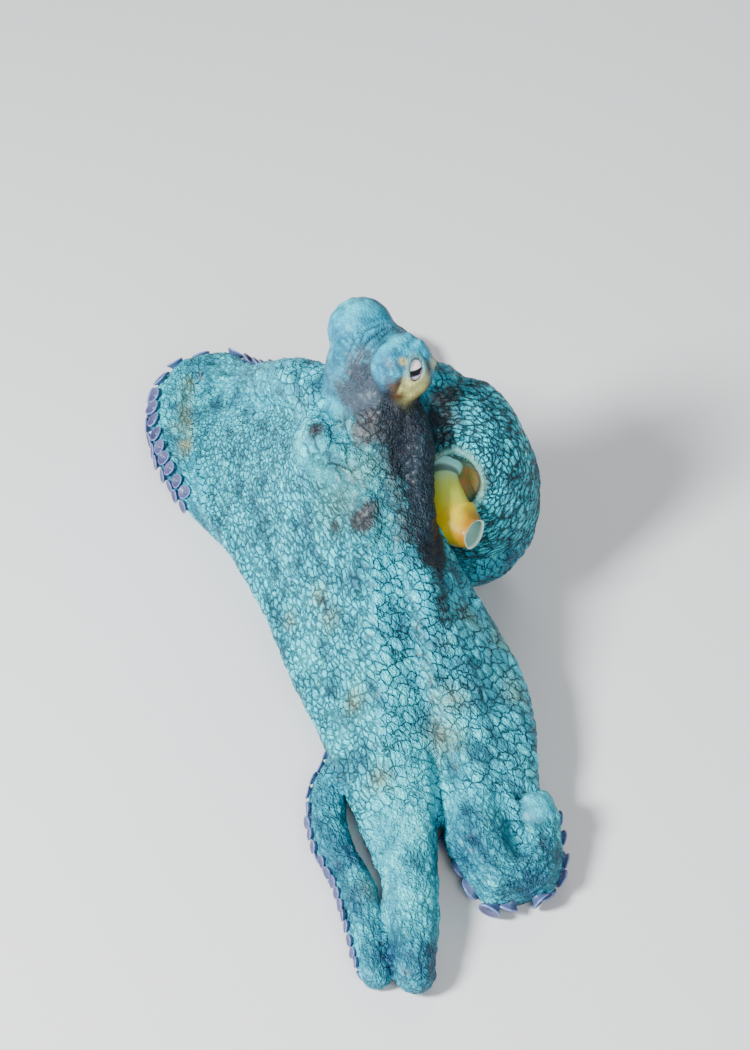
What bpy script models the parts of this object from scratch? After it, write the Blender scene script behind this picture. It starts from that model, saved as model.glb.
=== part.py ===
"""A common octopus at life size, raised on its arms with the web spread in front of it.

Sizes are millimetres until to_metres() turns them into metres. +Z is up, the
floor is z = 0, and the animal looks towards -X and -Y.
"""

from math import cos, radians, sin

import bmesh
import bpy
from mathutils import Matrix, Vector

MM = 0.001

# ---- gaps and fineness -----------------------------------------------------
GAP = 0.3                 # clear space between two neighbouring pieces
VOXEL = 2.0               # grid that the soft body is fused on
SMOOTH_ROUNDS = 6         # rounds of smoothing after fusing
TUBE_SIDES_STEP = 2       # bevel resolution of an arm: 8 sides
BODY_TRIANGLES = 3400     # head, mantle and crown together

# ---- head and eyes ---------------------------------------------------------
EYE_AXIS = Vector((0.46, -0.74, 0.49)).normalized()
HEAD_CENTRE = Vector((-7.0, 17.0, 104.0))
HEAD_RADII = (22.0, 20.0, 26.0)
LOBE_LEFT = Vector((4.5, 4.0, 118.0))      # mound of the left eye
LOBE_RIGHT = Vector((-13.0, 28.0, 120.0))  # mound of the right eye
LOBE_RADIUS = 14.6
EYE_RADIUS = 9.2
EYE_OUT = 4.2             # how far the ball sits out from the mound's centre
LID_OPENING = 5.2         # radius of the opening between the lids

# ---- mantle ----------------------------------------------------------------
MANTLE_CENTRE = Vector((35.0, 7.0, 50.0))
MANTLE_RADII = (32.0, 29.0, 52.0)
MANTLE_LEAN = radians(-9.0)
MANTLE_TAPER = 0.27       # how much narrower the top of the sac is than its middle

# ---- funnel ----------------------------------------------------------------
FUNNEL_LINE = ((22.0, 3.0, 70.0, 6.8), (23.6, -7.0, 71.5, 6.8), (23.4, -14.0, 70.5, 6.2),
               (24.6, -20.5, 66.0, 7.6), (26.0, -26.5, 61.2, 9.8), (29.5, -31.5, 59.0, 9.8),
               (35.0, -36.0, 59.3, 8.2))
FUNNEL_BORE = ((28.0, -29.8, 59.4, 3.6), (31.0, -32.8, 59.0, 6.4), (35.0, -36.0, 59.3, 6.6),
               (38.5, -38.9, 59.6, 7.0))
APERTURE_CENTRE = Vector((30.0, -17.0, 73.0))
APERTURE_RADII = (12.0, 9.0, 13.0)

# ---- the web: a tent from the neck to its rim ------------------------------
COLUMN_CENTRE = Vector((-2.0, 3.0, 76.0))   # where the arms join below the head
COLUMN_RADII = (22.0, 25.0, 36.0)
TENT_CENTRE = Vector((-12.0, 1.0, 0.0))
NECK_HEIGHT = 90.0
NECK_RADII = (23.0, 21.0)
TENT_RINGS = 7
TENT_HOLLOW = 1.25        # above 1 the web falls away from the neck like a sail
LIP_THICKNESS = 4.5
WEB_RIM = (
    (-86.0, 132.0, 15.0, 6.0), (-102.0, 118.0, 11.0, 6.0), (-105.0, 82.0, 11.0, 8.0),
    (-93.0, 44.0, 13.0, 16.0), (-79.0, 9.0, 19.0, 26.0), (-58.5, -37.0, 19.0, 28.0),
    (-41.0, -87.0, 18.0, 28.0), (-23.5, -133.0, 17.0, 24.0), (-5.5, -184.0, 15.0, 10.0),
    (8.0, -190.0, 14.0, 5.0), (17.0, -148.0, 14.0, 5.0), (25.0, -165.0, 12.0, 5.0),
    (42.0, -186.0, 11.0, 5.0), (60.0, -178.0, 11.0, 5.0), (60.0, -150.0, 16.0, 6.0),
    (59.0, -96.0, 20.0, 10.0), (41.0, -49.0, 25.0, 10.0), (19.0, -26.0, 34.0, 8.0),
    (13.0, 16.0, 26.0, 6.0), (10.0, 48.0, 13.0, 6.0), (-10.0, 74.0, 13.0, 6.0),
    (-38.0, 92.0, 15.0, 6.0), (-62.0, 104.0, 26.0, 6.0),
)

# ---- arms: x, y, z, radius along each one ----------------------------------
ARM_R1 = ((-14.0, 6.0, 84.0, 14.0), (-34.0, 34.0, 82.0, 13.0), (-52.0, 68.0, 57.0, 12.0),
          (-68.0, 104.0, 26.0, 11.5), (-86.0, 132.0, 13.0, 12.0), (-103.0, 122.0, 10.0, 11.0),
          (-105.0, 90.0, 9.0, 10.0), (-92.0, 50.0, 7.5, 8.5), (-67.0, 12.0, 6.0, 6.8),
          (-43.0, -28.0, 5.0, 5.6), (-29.0, -68.0, 4.0, 4.6), (-20.0, -98.0, 3.0, 3.4))
ARM_L1 = ((-10.0, -20.0, 50.0, 12.0), (-8.0, -66.0, 26.0, 10.0), (-13.0, -110.0, 9.0, 8.5),
          (-26.0, -140.0, 7.0, 7.6), (-23.5, -166.0, 6.5, 7.4), (-14.0, -190.0, 6.2, 7.2),
          (-9.8, -211.0, 5.8, 6.8), (-6.2, -231.0, 4.8, 5.8))
ARM_L2 = ((-9.0, -12.0, 76.0, 15.0), (-5.0, -58.0, 52.0, 15.0), (2.0, -104.0, 29.0, 14.0),
          (6.0, -146.0, 15.0, 12.5), (7.0, -184.0, 10.5, 11.5), (8.0, -212.0, 9.0, 10.5),
          (8.5, -232.0, 7.0, 8.5))
ARM_L3 = ((-4.0, -8.0, 70.0, 14.0), (8.0, -38.0, 50.0, 14.0), (26.0, -76.0, 30.0, 14.0),
          (34.0, -104.0, 22.0, 14.0), (34.0, -134.0, 14.0, 14.0), (34.0, -164.0, 11.0, 13.5),
          (42.0, -188.0, 9.0, 12.5), (55.0, -188.0, 8.0, 11.0), (61.0, -170.0, 9.0, 9.0),
          (60.0, -154.0, 15.0, 7.5))
ARM_L4 = ((2.0, 10.0, 36.0, 12.0), (8.0, 36.0, 18.0, 11.0), (24.0, 51.0, 8.5, 9.0),
          (42.0, 51.0, 6.2, 7.0), (57.0, 41.0, 4.8, 5.4), (60.0, 25.0, 3.2, 3.6),
          (54.0, 14.0, 2.1, 2.4))
ARM_R4 = ((2.0, 16.0, 44.0, 12.0), (12.0, 42.0, 22.0, 11.0), (24.0, 69.0, 8.6, 9.2),
          (34.0, 88.0, 7.0, 7.8), (46.0, 92.0, 5.6, 6.2), (52.0, 81.0, 4.4, 5.0),
          (45.0, 71.0, 3.2, 3.6), (37.0, 76.0, 2.2, 2.4))
NECK_BRIDGE = ((-6.0, 22.0, 98.0, 17.0), (12.0, 20.0, 94.0, 16.0), (28.0, 14.0, 82.0, 18.0))
NECK_EDGE = ((10.0, -6.0, 97.0, 6.5), (12.5, -14.0, 89.0, 6.5), (13.0, -24.0, 79.5, 6.0),
             (13.0, -34.0, 72.5, 6.0), (13.0, -44.0, 67.0, 6.0))
WEB_FOLD = ((4.0, -22.0, 44.0, 11.0), (28.0, -48.0, 26.0, 11.0), (46.0, -92.0, 18.0, 12.0),
            (49.0, -130.0, 14.0, 11.5), (52.0, -158.0, 10.0, 10.0))

# arms laid in curls behind the body: where each starts, its heading, and how it curls
CURLED_ARMS = {
    "arm_r2": {"start": (-20.0, 24.0, 50.0), "heading": 109.0, "straight": 86.0, "turn": -1.0},
    "arm_r3": {"start": (-5.0, 26.0, 48.0), "heading": 81.0, "straight": 122.0, "turn": 1.0},
}
CURL_START_RADIUS = 12.0
CURL_TIP_RADIUS = 2.0
CURL_LENGTH = 240.0
CURL_TIGHTNESS = 3.3      # turn radius, in arm radii
CURL_DROP = 60.0          # length over which an arm comes down to the floor


def to_metres(point):
    return Vector(point[:3]) * MM


# ---- small helpers ---------------------------------------------------------
def clear_scene():
    for item in list(bpy.data.objects):
        bpy.data.objects.remove(item, do_unlink=True)


def new_collection(name):
    group = bpy.data.collections.new(name)
    bpy.context.scene.collection.children.link(group)
    return group


def paint(name, colour, roughness):
    finish = bpy.data.materials.new(name)
    finish.use_nodes = True
    shader = finish.node_tree.nodes["Principled BSDF"]
    shader.inputs["Base Color"].default_value = (*colour, 1.0)
    shader.inputs["Roughness"].default_value = roughness
    shader.inputs["Metallic"].default_value = 0.0
    return finish


def object_from(bm, name, group):
    mesh = bpy.data.meshes.new(name)
    bm.to_mesh(mesh)
    bm.free()
    item = bpy.data.objects.new(name, mesh)
    group.objects.link(item)
    return item


def catmull(p0, p1, p2, p3, t):
    """A point on the smooth curve between p1 and p2."""
    values = []
    for a, b, c, d in zip(p0, p1, p2, p3):
        linear = (c - a) * t
        square = (2 * a - 5 * b + 4 * c - d) * t * t
        cube = (3 * b - a - 3 * c + d) * t * t * t
        values.append(b + 0.5 * (linear + square + cube))
    return values


def smooth_line(points, closed=False, steps=12):
    """A dense smooth curve through the points, with all their columns."""
    count = len(points)
    spans = count if closed else count - 1
    dense = []
    for i in range(spans):
        if closed:
            around = [points[(i + k) % count] for k in (-1, 0, 1, 2)]
        else:
            around = [points[min(max(i + k, 0), count - 1)] for k in (-1, 0, 1, 2)]
        dense += [catmull(*around, step / steps) for step in range(steps)]
    if not closed:
        dense.append(list(points[-1]))
    return dense


def spaced(line, pitch):
    """Points along a dense line, each pitch(radius) after the last."""
    kept = [line[0]]
    travelled = 0.0
    for before, here in zip(line, line[1:]):
        travelled += (Vector(here[:3]) - Vector(before[:3])).length
        if travelled >= pitch(here[3]):
            kept.append(here)
            travelled = 0.0
    if travelled > 0.4 * pitch(line[-1][3]):
        kept.append(line[-1])
    else:
        kept[-1] = line[-1]
    return kept


def arm_pitch(radius):
    return max(1.5 * radius, 4.5)


def cut_line(line, start, end):
    """The stretch of a line between two lengths from its start."""
    kept = []
    travelled = 0.0
    for i, point in enumerate(line):
        if i:
            travelled += (Vector(point[:3]) - Vector(line[i - 1][:3])).length
        if start <= travelled <= end:
            kept.append(point)
    return kept


def curled_line(spec):
    """An arm that runs back along the floor and ends in a tightening curl."""
    place = Vector(spec["start"])
    heading = radians(spec["heading"])
    step = 2.0
    points = []
    count = int(CURL_LENGTH / step)
    for i in range(count + 1):
        along = i * step
        share = along / CURL_LENGTH
        radius = CURL_START_RADIUS + (CURL_TIP_RADIUS - CURL_START_RADIUS) * share ** 0.9
        drop = min(along / CURL_DROP, 1.0)
        ease = drop * drop * (3 - 2 * drop)
        height = spec["start"][2] * (1 - ease) + 0.86 * radius * ease
        points.append([place.x, place.y, height, radius])
        if along > spec["straight"]:
            heading += spec["turn"] * step / (CURL_TIGHTNESS * radius)
        place += Vector((cos(heading), sin(heading), 0.0)) * step
    return points


# ---- shapes ----------------------------------------------------------------
def ellipsoid(centre, radii, lean=0.0, segments=24, rings=16):
    bm = bmesh.new()
    bmesh.ops.create_uvsphere(bm, u_segments=segments, v_segments=rings, radius=1.0)
    size = Matrix.Diagonal((*radii, 1.0))
    turn = Matrix.Rotation(lean, 4, "X")
    bm.transform(Matrix.Scale(MM, 4) @ Matrix.Translation(centre) @ turn @ size)
    return bm


def tube(line, name, group, sides_step=TUBE_SIDES_STEP):
    """A closed tapering tube along points of x, y, z and radius."""
    curve = bpy.data.curves.new(name, "CURVE")
    curve.dimensions = "3D"
    curve.bevel_depth = MM
    curve.bevel_resolution = sides_step
    curve.use_fill_caps = True
    spline = curve.splines.new("POLY")
    spline.points.add(len(line) - 1)
    for knot, point in zip(spline.points, line):
        knot.co = (*to_metres(point), 1.0)
        knot.radius = point[3]
    helper = bpy.data.objects.new(name + "_line", curve)
    group.objects.link(helper)
    bpy.context.view_layer.update()
    ready = helper.evaluated_get(bpy.context.evaluated_depsgraph_get())
    mesh = bpy.data.meshes.new_from_object(ready)
    bpy.data.objects.remove(helper)
    bm = bmesh.new()
    bm.from_mesh(mesh)
    bmesh.ops.remove_doubles(bm, verts=bm.verts, dist=0.00001)
    bmesh.ops.recalc_face_normals(bm, faces=bm.faces)
    return bm


def rounded_end(line):
    """Adds two narrowing rings after the last point, so that an arm ends round."""
    tip = Vector(line[-1][:3])
    ahead = (tip - Vector(line[-2][:3])).normalized()
    radius = line[-1][3]
    ends = []
    for reach, share in ((0.6, 0.78), (0.95, 0.34)):
        spot = tip + ahead * radius * reach
        ends.append([spot.x, spot.y, max(spot.z, radius * share * 0.8), radius * share])
    return line + ends


def flatten_base(bm):
    """Cuts away what is below the floor and closes the flat."""
    everything = bm.verts[:] + bm.edges[:] + bm.faces[:]
    result = bmesh.ops.bisect_plane(bm, geom=everything, plane_co=(0, 0, 0), plane_no=(0, 0, 1),
                                    dist=0.000001, clear_inner=True)
    rim = [e for e in result["geom_cut"] if isinstance(e, bmesh.types.BMEdge)]
    if rim:
        bmesh.ops.holes_fill(bm, edges=[e for e in bm.edges if e.is_boundary], sides=0)
    bmesh.ops.triangulate(bm, faces=bm.faces)
    bmesh.ops.recalc_face_normals(bm, faces=bm.faces)


def tent():
    """The web as one solid: rings from the neck to the rim, then in under the lip."""
    rim = smooth_line(WEB_RIM, closed=True, steps=6)
    bm = bmesh.new()

    def ring(points):
        verts = [bm.verts.new(to_metres(p)) for p in points]
        edges = [bm.edges.new((verts[i - 1], verts[i])) for i in range(len(verts))]
        return verts, edges

    def neck_point(point):
        away = Vector((point[0], point[1], 0.0)) - TENT_CENTRE
        away.normalize()
        return Vector((TENT_CENTRE.x + away.x * NECK_RADII[0],
                       TENT_CENTRE.y + away.y * NECK_RADII[1], NECK_HEIGHT))

    rings = []
    for k in range(TENT_RINGS + 1):
        share = k / TENT_RINGS
        points = []
        for point in rim:
            top = neck_point(point)
            spot = top.lerp(Vector(point[:3]), share)
            spot.z = point[2] + (top.z - point[2]) * (1 - share) ** TENT_HOLLOW
            points.append(spot)
        rings.append(ring(points))
    for drop, share in ((LIP_THICKNESS, 0.04), (LIP_THICKNESS, 1.0), (60.0, 1.0)):
        points = []
        for point in rim:
            inward = TENT_CENTRE - Vector((point[0], point[1], 0.0))
            inward.normalize()
            spot = Vector(point[:3]) + inward * point[3] * share
            spot.z = max(point[2] - drop, -6.0)
            points.append(spot)
        rings.append(ring(points))
    for (_, upper), (_, lower) in zip(rings, rings[1:]):
        bmesh.ops.bridge_loops(bm, edges=upper + lower)
    for verts, _ in (rings[0], rings[-1]):
        bm.faces.new(verts)
    bmesh.ops.triangulate(bm, faces=bm.faces)
    bmesh.ops.recalc_face_normals(bm, faces=bm.faces)
    return bm


def join(meshes, name, group):
    """All the shapes in one mesh, still as separate shells."""
    whole = bmesh.new()
    for bm in meshes:
        part = bpy.data.meshes.new("shape")
        bm.to_mesh(part)
        bm.free()
        whole.from_mesh(part)
        bpy.data.meshes.remove(part)
    return object_from(whole, name, group)


def evaluated(item, name, group):
    """The object with its modifiers applied, as a new object; the old one goes."""
    bpy.context.view_layer.update()
    ready = item.evaluated_get(bpy.context.evaluated_depsgraph_get())
    mesh = bpy.data.meshes.new_from_object(ready)
    bpy.data.objects.remove(item)
    fresh = bpy.data.objects.new(name, mesh)
    group.objects.link(fresh)
    return fresh


def fused(meshes, triangles, group):
    """One skin over all the shapes, smoothed and brought down to a number of triangles."""
    item = join(meshes, "soft_body", group)
    remesh = item.modifiers.new("fuse", "REMESH")
    remesh.mode = "VOXEL"
    remesh.voxel_size = VOXEL * MM
    soften = item.modifiers.new("soften", "SMOOTH")
    soften.factor = 0.5
    soften.iterations = SMOOTH_ROUNDS
    item = evaluated(item, "soft_body", group)
    thin = item.modifiers.new("thin", "DECIMATE")
    thin.ratio = triangles / (2 * len(item.data.polygons))
    item = evaluated(item, "soft_body", group)
    bm = bmesh.new()
    bm.from_mesh(item.data)
    bpy.data.objects.remove(item)
    flatten_base(bm)
    return object_from(bm, "soft_body", group)


def subtract(item, bm_cutter, group, cutters, name):
    """Cuts one solid out of an object."""
    cutter = object_from(bm_cutter, name, cutters)
    cutter.hide_render = True
    cutter.display_type = "WIRE"
    cut = item.modifiers.new(name, "BOOLEAN")
    cut.operation = "DIFFERENCE"
    cut.object = cutter
    return evaluated(item, item.name, group)


def slab(centre, normal, width, height, thickness=GAP):
    """A thin block across a direction; width runs level, height the other way."""
    bm = bmesh.new()
    bmesh.ops.create_cube(bm, size=1.0)
    facing = Vector(normal).normalized()
    level = Vector((0, 0, 1)).cross(facing)
    if level.length < 0.01:
        level = Vector((1, 0, 0))
    level.normalize()
    other = facing.cross(level)
    turn = Matrix((level, other, facing)).transposed().to_4x4()
    size = Matrix.Diagonal((width, height, thickness, 1.0))
    bm.transform(Matrix.Scale(MM, 4) @ Matrix.Translation(Vector(centre)) @ turn @ size)
    return bm


# arms whose far end is a free length: where it starts along the arm, and where it is halved
FREE_ENDS = {
    "arm_r1": (ARM_R1, 232.0, 330.0),
    "arm_l1": (ARM_L1, 106.0, 168.0),
    "arm_l4": (ARM_L4, 44.0, 84.0),
    "arm_r2": (curled_line(CURLED_ARMS["arm_r2"]), 62.0, 122.0),
    "arm_r3": (curled_line(CURLED_ARMS["arm_r3"]), 62.0, 134.0),
    "arm_r4": (ARM_R4, 66.0, 116.0),
}

# thin cuts that part the fused body: centre, facing, width, height
CUTS = {
    "cut_neck": ((-10.0, 20.0, 88.0), (0.05, -0.05, 1.0), 124.0, 124.0),
    "cut_arm_r1": ((-76.0, 66.0, 30.0), (0.84, -0.54, 0.0), 124.0, 120.0),
    "cut_arm_l2": ((9.0, -186.0, 10.0), (0.0, 1.0, 0.0), 36.0, 60.0),
    "cut_arm_l3": ((44.0, -160.0, 15.0), (0.0, 1.0, 0.0), 62.0, 60.0),
}

# a point near the middle of each piece that the cuts leave
PIECES = {
    "head": (-7.0, 17.0, 112.0),
    "web": (0.0, -40.0, 30.0),
    "arm_r1_bend": (-92.0, 95.0, 12.0),
    "arm_l2_end": (8.0, -210.0, 8.0),
    "arm_l3_end": (45.0, -178.0, 10.0),
}


def mantle_sac(extra=0.0):
    """An egg, narrower at the top, leaning a little away at the top."""
    bm = ellipsoid(Vector(), (1.0, 1.0, 1.0), segments=20, rings=14)
    for vert in bm.verts:
        place = vert.co / MM
        girth = 1.0 - MANTLE_TAPER * max(place.z, 0.0) + 0.1 * max(-place.z, 0.0)
        vert.co = Vector((place.x * girth * (MANTLE_RADII[0] + extra),
                          place.y * girth * (MANTLE_RADII[1] + extra),
                          place.z * (MANTLE_RADII[2] + extra)))
    turn = Matrix.Rotation(MANTLE_LEAN, 4, "X")
    bm.transform(Matrix.Scale(MM, 4) @ Matrix.Translation(MANTLE_CENTRE) @ turn)
    return bm


def grown(line, extra):
    return [[*point[:3], point[3] + extra] for point in line]


def body_shapes(octopus):
    """The shapes that the fused body is made from."""
    shapes = [
        ellipsoid(HEAD_CENTRE, HEAD_RADII),
        ellipsoid(LOBE_LEFT, (LOBE_RADIUS,) * 3),
        ellipsoid(LOBE_RIGHT, (LOBE_RADIUS,) * 3),
        ellipsoid(COLUMN_CENTRE, COLUMN_RADII),
        tent(),
    ]
    for line in (ARM_L2, ARM_L3, WEB_FOLD, NECK_BRIDGE, NECK_EDGE):
        path = spaced(smooth_line(line), arm_pitch)
        shapes.append(tube(rounded_end(path), "arm", octopus))
    for name, (line, start, _) in FREE_ENDS.items():
        dense = line if name in CURLED_ARMS else smooth_line(line)
        shapes.append(tube(spaced(cut_line(dense, 0.0, start + 3.0), arm_pitch), "arm", octopus))
    return shapes


def islands_of(bm):
    """The sets of vertices that hang together."""
    unseen = set(bm.verts)
    islands = []
    while unseen:
        island = {unseen.pop()}
        edge = list(island)
        while edge:
            near = {e.other_vert(v) for v in edge for e in v.link_edges} - island
            island |= near
            edge = list(near)
        unseen -= island
        islands.append(island)
    return islands


def split(item, places, group, finish):
    """Makes an object of each body that the cuts left, named by the place nearest its middle."""
    whole = bmesh.new()
    whole.from_mesh(item.data)
    bpy.data.objects.remove(item)
    whole.verts.index_update()
    kept = {}
    for island in islands_of(whole):
        middle = sum((v.co for v in island), Vector()) / len(island)
        name = min(places, key=lambda key: (middle - to_metres(places[key])).length)
        if len(island) > len(kept.get(name, ())):
            kept[name] = island
    for name, island in kept.items():
        numbers = {v.index for v in island}
        bm = whole.copy()
        bmesh.ops.delete(bm, geom=[v for v in bm.verts if v.index not in numbers], context="VERTS")
        object_from(bm, name, group).data.materials.append(finish)
    whole.free()


def build_funnel(octopus, finish):
    """The siphon: a tube that flares at its end, with a blind bore."""
    bm = tube(smooth_line(FUNNEL_LINE, steps=2), "funnel", octopus, 3)
    funnel = object_from(bm, "funnel", octopus)
    cutters = bpy.data.collections["cutters"]
    bore = tube(smooth_line(FUNNEL_BORE, steps=2), "bore", cutters, 2)
    funnel = subtract(funnel, bore, octopus, cutters, "funnel_bore")
    funnel.data.materials.append(finish)
    return funnel


def build_mantle(octopus, cutters, finish):
    """The sac behind the head, with the opening that the funnel comes out of."""
    bm = mantle_sac()
    flatten_base(bm)
    mantle = object_from(bm, "mantle", octopus)
    room = ellipsoid(APERTURE_CENTRE, APERTURE_RADII, segments=16, rings=10)
    mantle = subtract(mantle, room, octopus, cutters, "mantle_opening")
    room = tube(grown(smooth_line(FUNNEL_LINE, steps=2), GAP), "funnel_room", cutters, 3)
    mantle = subtract(mantle, room, octopus, cutters, "mantle_funnel_room")
    mantle.data.materials.append(finish)
    return mantle


def build_eye(name, lobe, axis, octopus, finish):
    centre = lobe + axis * EYE_OUT
    eye = object_from(ellipsoid(centre, (EYE_RADIUS,) * 3, segments=16, rings=10), name, octopus)
    eye.data.materials.append(finish)
    return centre


def eye_room(centre, axis):
    """The socket round an eye and the round opening between its lids."""
    socket = ellipsoid(centre, (EYE_RADIUS + GAP,) * 3, segments=16, rings=10)
    opening = bmesh.new()
    bmesh.ops.create_cone(opening, cap_ends=True, segments=18, radius1=LID_OPENING * MM,
                          radius2=(LID_OPENING + 2.0) * MM, depth=12.0 * MM)
    turn = axis.to_track_quat("Z", "Y").to_matrix().to_4x4()
    outside = (centre + axis * (EYE_RADIUS + 2.5)) * MM
    opening.transform(Matrix.Translation(outside) @ turn)
    return socket, opening


def build_free_arm(name, dense, start, half, octopus, cutters, finish):
    """The far part of one arm, in two lengths."""
    line = rounded_end(spaced(cut_line(dense, start, 1000.0), arm_pitch))
    bm = tube(line, name, octopus)
    flatten_base(bm)
    arm = object_from(bm, name, octopus)
    around = cut_line(dense, half - 4.0, half + 4.0)
    here, there = around[0], around[-1]
    facing = Vector(there[:3]) - Vector(here[:3])
    side = 2.7 * here[3]
    arm = subtract(arm, slab(here, facing, side, side), octopus, cutters, "cut_" + name)
    near = cut_line(dense, start, half)
    far = cut_line(dense, half, 1000.0)
    places = {name + "_middle": near[len(near) // 2], name + "_tip": far[len(far) // 2]}
    split(arm, places, octopus, finish)
    return line


def centre_on_floor(group):
    """Moves every piece so that the middle of the whole animal's base is the origin."""
    places = [vert.co for item in group.objects for vert in item.data.vertices]
    low = Vector(min(place[i] for place in places) for i in range(3))
    high = Vector(max(place[i] for place in places) for i in range(3))
    middle = (low + high) / 2
    for item in group.objects:
        item.data.transform(Matrix.Translation((-middle.x, -middle.y, 0.0)))


def main():
    clear_scene()
    octopus = new_collection("octopus")
    cutters = new_collection("cutters")
    skin = paint("skin", (0.43, 0.66, 0.70), 0.5)
    yellow = paint("funnel_skin", (0.75, 0.62, 0.15), 0.4)
    eyeball = paint("eye", (0.85, 0.87, 0.70), 0.15)

    body = fused(body_shapes(octopus), BODY_TRIANGLES, octopus)
    body = subtract(body, mantle_sac(GAP), octopus, cutters, "mantle_room")
    room = tube(grown(smooth_line(FUNNEL_LINE, steps=2), GAP), "funnel", cutters, 3)
    body = subtract(body, room, octopus, cutters, "funnel_room")
    for name, lobe, side in (("eye_left", LOBE_LEFT, 1.0), ("eye_right", LOBE_RIGHT, -1.0)):
        axis = Vector((EYE_AXIS.x * side, EYE_AXIS.y * side, EYE_AXIS.z))
        centre = build_eye(name, lobe, axis, octopus, eyeball)
        for i, room in enumerate(eye_room(centre, axis)):
            body = subtract(body, room, octopus, cutters, f"{name}_room_{i}")
    for name, (line, start, half) in FREE_ENDS.items():
        dense = line if name in CURLED_ARMS else smooth_line(line)
        path = build_free_arm(name, dense, start, half, octopus, cutters, skin)
        body = subtract(body, tube(grown(path, GAP), name, cutters), octopus, cutters, "room_" + name)
    for name, (centre, facing, width, height) in CUTS.items():
        body = subtract(body, slab(centre, facing, width, height), octopus, cutters, name)
    split(body, PIECES, octopus, skin)
    build_mantle(octopus, cutters, skin)
    build_funnel(octopus, yellow)
    centre_on_floor(octopus)


main()
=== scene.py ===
from functools import partial, reduce
from math import cos, pi, radians, sin, sqrt

import bmesh
import bpy
import numpy as np
from mathutils import Matrix, Vector, noise
from mathutils.bvhtree import BVHTree


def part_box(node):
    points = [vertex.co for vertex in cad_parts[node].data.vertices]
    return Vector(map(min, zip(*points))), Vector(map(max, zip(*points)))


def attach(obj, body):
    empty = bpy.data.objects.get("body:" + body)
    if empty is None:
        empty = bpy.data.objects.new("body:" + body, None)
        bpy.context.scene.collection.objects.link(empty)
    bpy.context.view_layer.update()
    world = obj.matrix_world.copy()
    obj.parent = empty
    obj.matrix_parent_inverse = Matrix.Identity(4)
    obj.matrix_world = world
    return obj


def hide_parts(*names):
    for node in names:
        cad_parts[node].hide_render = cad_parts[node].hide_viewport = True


noise.seed_set(1)  # noise_vector starts from the clock without it
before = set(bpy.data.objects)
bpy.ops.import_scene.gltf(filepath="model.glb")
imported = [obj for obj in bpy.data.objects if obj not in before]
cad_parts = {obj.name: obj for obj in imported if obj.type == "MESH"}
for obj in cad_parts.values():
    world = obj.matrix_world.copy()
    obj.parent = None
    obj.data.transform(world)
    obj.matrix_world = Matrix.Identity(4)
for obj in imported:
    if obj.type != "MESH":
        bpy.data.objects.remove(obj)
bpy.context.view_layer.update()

mm = 0.001

# places are in the animal's own millimetres, whose zero lies below the neck
eye = {
    "axis": Vector((0.46, -0.74, 0.49)).normalized(),
    "moundLeft": Vector((4.5, 4.0, 118.0)), "moundRight": Vector((-13.0, 28.0, 120.0)),
    "cadOut": 4.2,       # the solid ball's place along the axis, from the mound's middle
    "out": 4.3, "radius": 9.3,
    "halfWidth": 3.2, "halfHeight": 4.8, "slant": 0.24,   # the opening between the lids
    "lidThickness": 0.9, "lipRise": 0.35,
    "fillings": ((0.0, 13.8), (3.0, 11.2)),   # along the axis, radius: the flesh round the ball
}


def middle(node):
    low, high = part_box(node)
    return (low + high) / 2


home = middle("eye_left") - (eye["moundLeft"] + eye["axis"] * eye["cadOut"]) * mm  # own zero


def placed(point):  # own millimetres to world metres
    return home + Vector(point[:3]) * mm


def eyeFrame(side):  # the mound's middle, then ahead, across and up on the eye
    mound = Vector(eye["moundLeft"] if side > 0 else eye["moundRight"])
    ahead = Vector((eye["axis"].x * side, eye["axis"].y * side, eye["axis"].z))
    across = Vector((0, 0, 1)).cross(ahead).normalized()
    return mound, ahead, across, ahead.cross(across)


# the arms' middle lines: x, y, z, radius, and the two that curl in a plain spiral
armLines = {
    "r1": (
        (-14, 6, 84, 14), (-34, 34, 82, 13), (-52, 68, 57, 12), (-68, 104, 26, 11.5), (-86, 132, 13, 12),
        (-103, 122, 10, 11), (-105, 90, 9, 10), (-92, 50, 7.5, 8.5), (-67, 12, 6, 6.8), (-43, -28, 5, 5.6),
        (-29, -68, 4, 4.6), (-20, -98, 3, 3.4)),
    "l1": (
        (-10, -20, 50, 12), (-8, -66, 26, 10), (-13, -110, 9, 8.5), (-26, -140, 7, 7.6),
        (-23.5, -166, 6.5, 7.4), (-14, -190, 6.2, 7.2), (-9.8, -211, 5.8, 6.8), (-6.2, -231, 4.8, 5.8)),
    "l2": (
        (-9, -12, 76, 15), (-5, -58, 52, 15), (2, -104, 29, 14), (6, -146, 15, 12.5), (7, -184, 10.5, 11.5),
        (8, -212, 9, 10.5), (8.5, -232, 7, 8.5)),
    "l3": (
        (-4, -8, 70, 14), (8, -38, 50, 14), (26, -76, 30, 14), (34, -104, 22, 14), (34, -134, 14, 14),
        (34, -164, 11, 13.5), (42, -188, 9, 12.5), (55, -188, 8, 11), (61, -170, 9, 9), (60, -154, 15, 7.5)),
    "l4": (
        (2, 10, 36, 12), (8, 36, 18, 11), (24, 51, 8.5, 9), (42, 51, 6.2, 7), (57, 41, 4.8, 5.4),
        (60, 25, 3.2, 3.6), (54, 14, 2.1, 2.4)),
    "r4": (
        (2, 16, 44, 12), (12, 42, 22, 11), (24, 69, 8.6, 9.2), (34, 88, 7, 7.8), (46, 92, 5.6, 6.2),
        (52, 81, 4.4, 5), (45, 71, 3.2, 3.6), (37, 76, 2.2, 2.4)),
}
curls = {
    "r2": {"start": (-20, 24, 50), "heading": 109, "straight": 86, "turn": -1},
    "r3": {"start": (-5, 26, 48), "heading": 81, "straight": 122, "turn": 1},
}
curl = {"radius": 12.0, "tip": 2.0, "length": 240.0, "tightness": 3.3, "drop": 60.0}


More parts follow.
